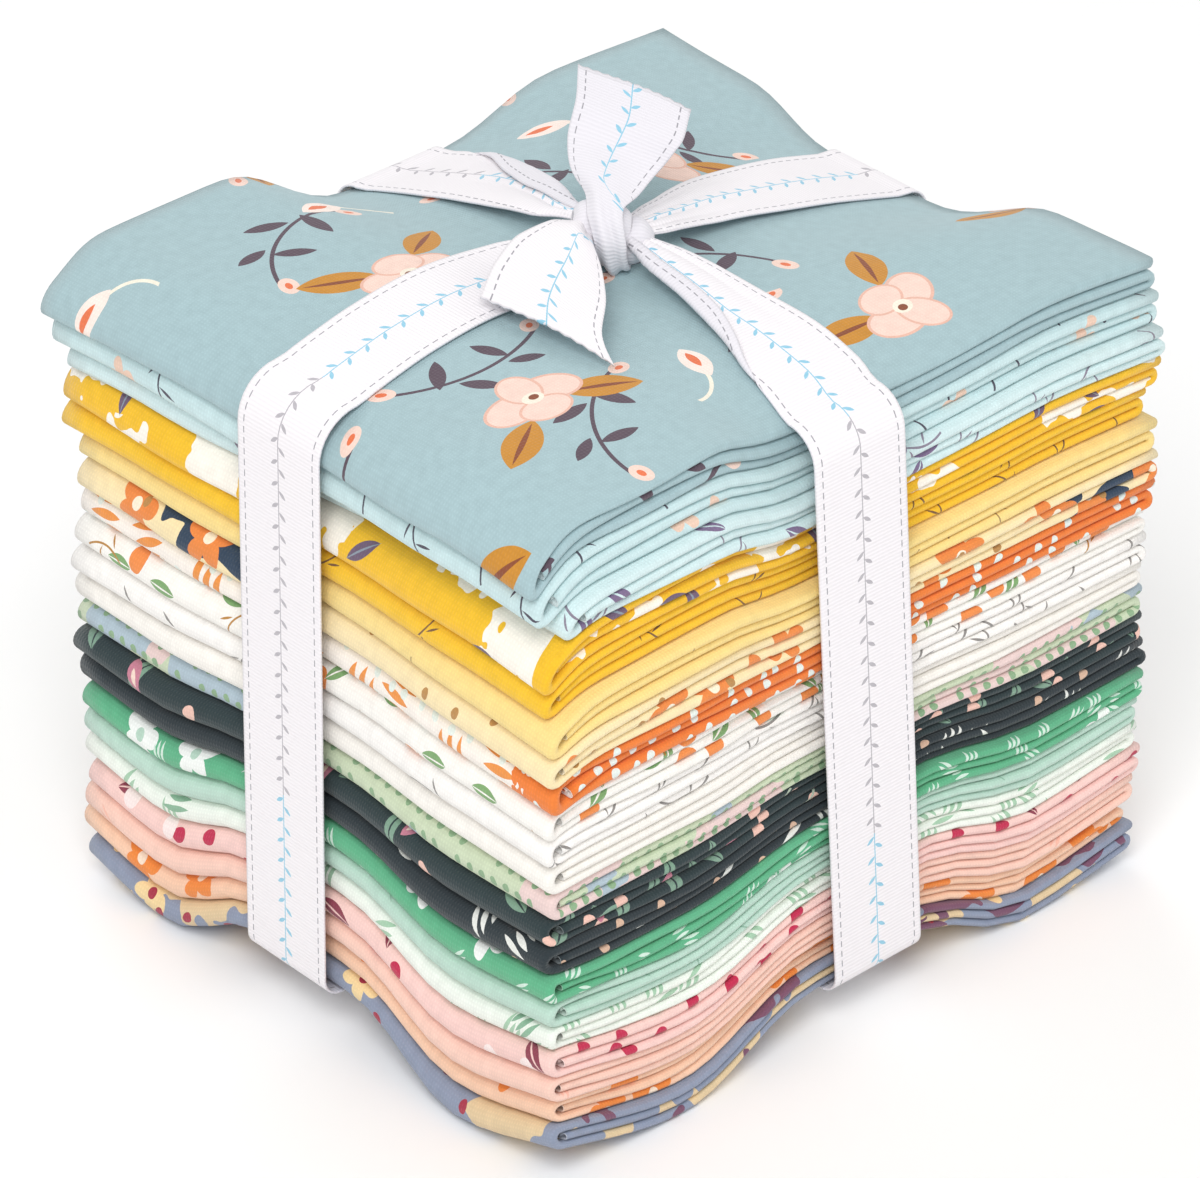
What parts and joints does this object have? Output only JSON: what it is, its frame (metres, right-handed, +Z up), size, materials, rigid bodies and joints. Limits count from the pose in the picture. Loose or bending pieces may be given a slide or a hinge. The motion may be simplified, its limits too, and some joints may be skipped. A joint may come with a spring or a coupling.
{
  "type": "fat quarter bundle",
  "caption": "Square stack of folded printed cotton pieces tied both ways with a ribbon, for sewing rooms and shop shelves.",
  "frame": {"origin": "middle of the bundle's plan on the plane that it rests on", "axes": "+Z up; +X from the side with the round folds to the side with the free ends; +Y along the round folds"},
  "size_m": [0.1556, 0.1402, 0.1572],
  "materials": {
    "cotton_grey_blue_mix": "printed plain-weave cotton",
    "cotton_peach_flowers": "printed plain-weave cotton",
    "cotton_peach_pink": "printed plain-weave cotton",
    "cotton_pink_berries": "printed plain-weave cotton",
    "cotton_white_green_streaks": "printed plain-weave cotton",
    "cotton_sage": "printed plain-weave cotton",
    "cotton_green_flowers": "printed plain-weave cotton",
    "cotton_charcoal_strokes": "printed plain-weave cotton",
    "cotton_charcoal_leaves": "printed plain-weave cotton",
    "cotton_green_check": "printed plain-weave cotton",
    "cotton_off_white": "printed plain-weave cotton",
    "cotton_white_twigs": "printed plain-weave cotton",
    "cotton_white_leaves": "printed plain-weave cotton",
    "cotton_white_orange_stripes": "printed plain-weave cotton",
    "cotton_cream_orange": "printed plain-weave cotton",
    "cotton_pale_yellow": "printed plain-weave cotton",
    "cotton_mustard": "printed plain-weave cotton",
    "cotton_mustard_patches": "printed plain-weave cotton",
    "cotton_light_aqua": "printed plain-weave cotton",
    "cotton_aqua_dark_motifs": "printed plain-weave cotton",
    "cotton_dusty_aqua_floral": "printed plain-weave cotton",
    "ribbon_white_twill": "fine ribbed ribbon, soft sheen"
  },
  "bodies": {
    "root": {"cloth_01": "cotton_grey_blue_mix", "cloth_02": "cotton_peach_flowers", "cloth_03": "cotton_peach_pink", "cloth_04": "cotton_pink_berries", "cloth_05": "cotton_white_green_streaks", "cloth_06": "cotton_sage", "cloth_07": "cotton_green_flowers", "cloth_08": "cotton_charcoal_strokes", "cloth_09": "cotton_charcoal_leaves", "cloth_10": "cotton_green_check", "cloth_11": "cotton_off_white", "cloth_12": "cotton_white_twigs", "cloth_13": "cotton_white_leaves", "cloth_14": "cotton_white_orange_stripes", "cloth_15": "cotton_cream_orange", "cloth_16": "cotton_pale_yellow", "cloth_17": "cotton_mustard", "cloth_18": "cotton_mustard_patches", "cloth_19": "cotton_light_aqua", "cloth_20": "cotton_aqua_dark_motifs", "cloth_21": "cotton_dusty_aqua_floral", "ribbon": "ribbon_white_twill"}
  },
  "joints": []
}
